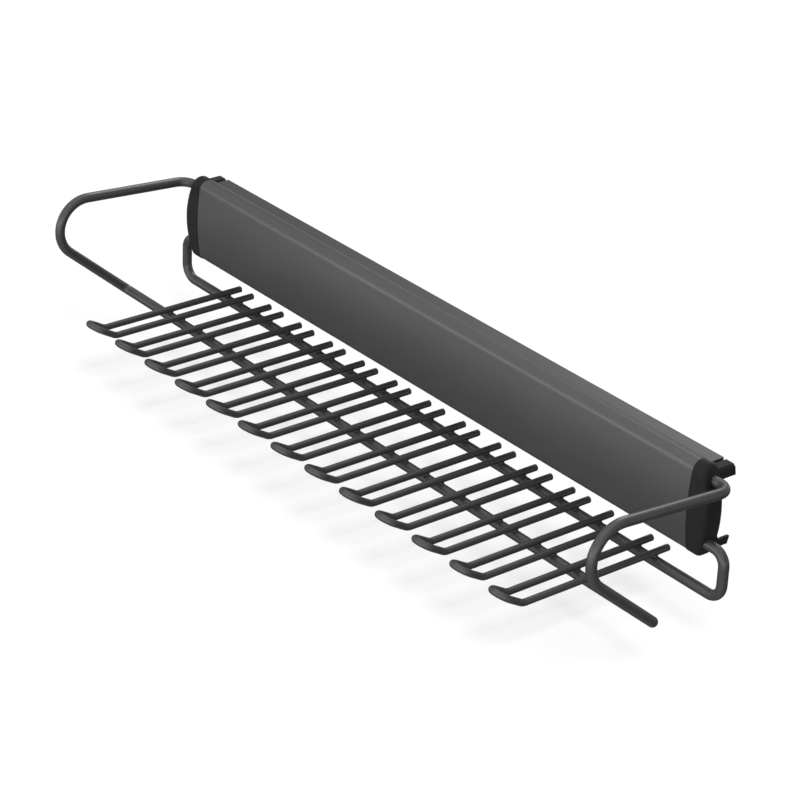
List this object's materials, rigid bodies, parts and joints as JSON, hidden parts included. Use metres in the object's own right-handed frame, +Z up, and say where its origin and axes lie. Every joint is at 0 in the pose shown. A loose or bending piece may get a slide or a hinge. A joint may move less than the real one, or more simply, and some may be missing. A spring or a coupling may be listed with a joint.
{
  "type": "pull-out tie rack",
  "caption": "Pull-out tie rack: a grey extruded housing on a hidden ball slide carries bent wire frames with a row of upturned hairpin fingers for ties.",
  "frame": {"origin": "middle of the fixed rail's wall face", "axes": "+X the way the rack pulls out, +Y into the wall, +Z up; the fingers point along -Y"},
  "size_m": [0.3993, 0.1019, 0.0598],
  "materials": {
    "grey_housing": "satin charcoal anodised",
    "grey_wire": "satin charcoal powder coat",
    "black_cap": "matte moulded black",
    "zinc_steel": "zinc plated",
    "cage_steel": "pressed bright steel",
    "ball_steel": "polished",
    "screw_steel": "zinc plated",
    "bumper_rubber": "moulded rubber"
  },
  "bodies": {
    "wall_rail": {"fixed_rail": "zinc_steel", "closing_bumper": "bumper_rubber"},
    "cage": {"ball_retainer": "cage_steel", "bearing_balls": "ball_steel"},
    "carriage": {"inner_rail": "zinc_steel", "rail_screws": "screw_steel", "housing": "grey_housing", "left_end_cap": "black_cap", "right_end_cap": "black_cap", "front_frame": "grey_wire", "rear_frame": "grey_wire", "finger_01": "grey_wire", "finger_02": "grey_wire", "finger_03": "grey_wire", "finger_04": "grey_wire", "finger_05": "grey_wire", "finger_06": "grey_wire", "finger_07": "grey_wire", "finger_08": "grey_wire", "finger_09": "grey_wire", "finger_10": "grey_wire", "finger_11": "grey_wire", "finger_12": "grey_wire", "finger_13": "grey_wire"}
  },
  "joints": [
    {"name": "carriage_slide", "type": "slide", "parent": "wall_rail", "child": "carriage", "axis": [1, 0, 0], "range_m": [0, 0.25]},
    {"name": "cage_slide", "type": "slide", "parent": "wall_rail", "child": "cage", "axis": [1, 0, 0], "range_m": [0, 0.125]}
  ],
  "couplings": [
    {"joint": "cage_slide", "follows": "carriage_slide", "ratio": 0.5}
  ]
}
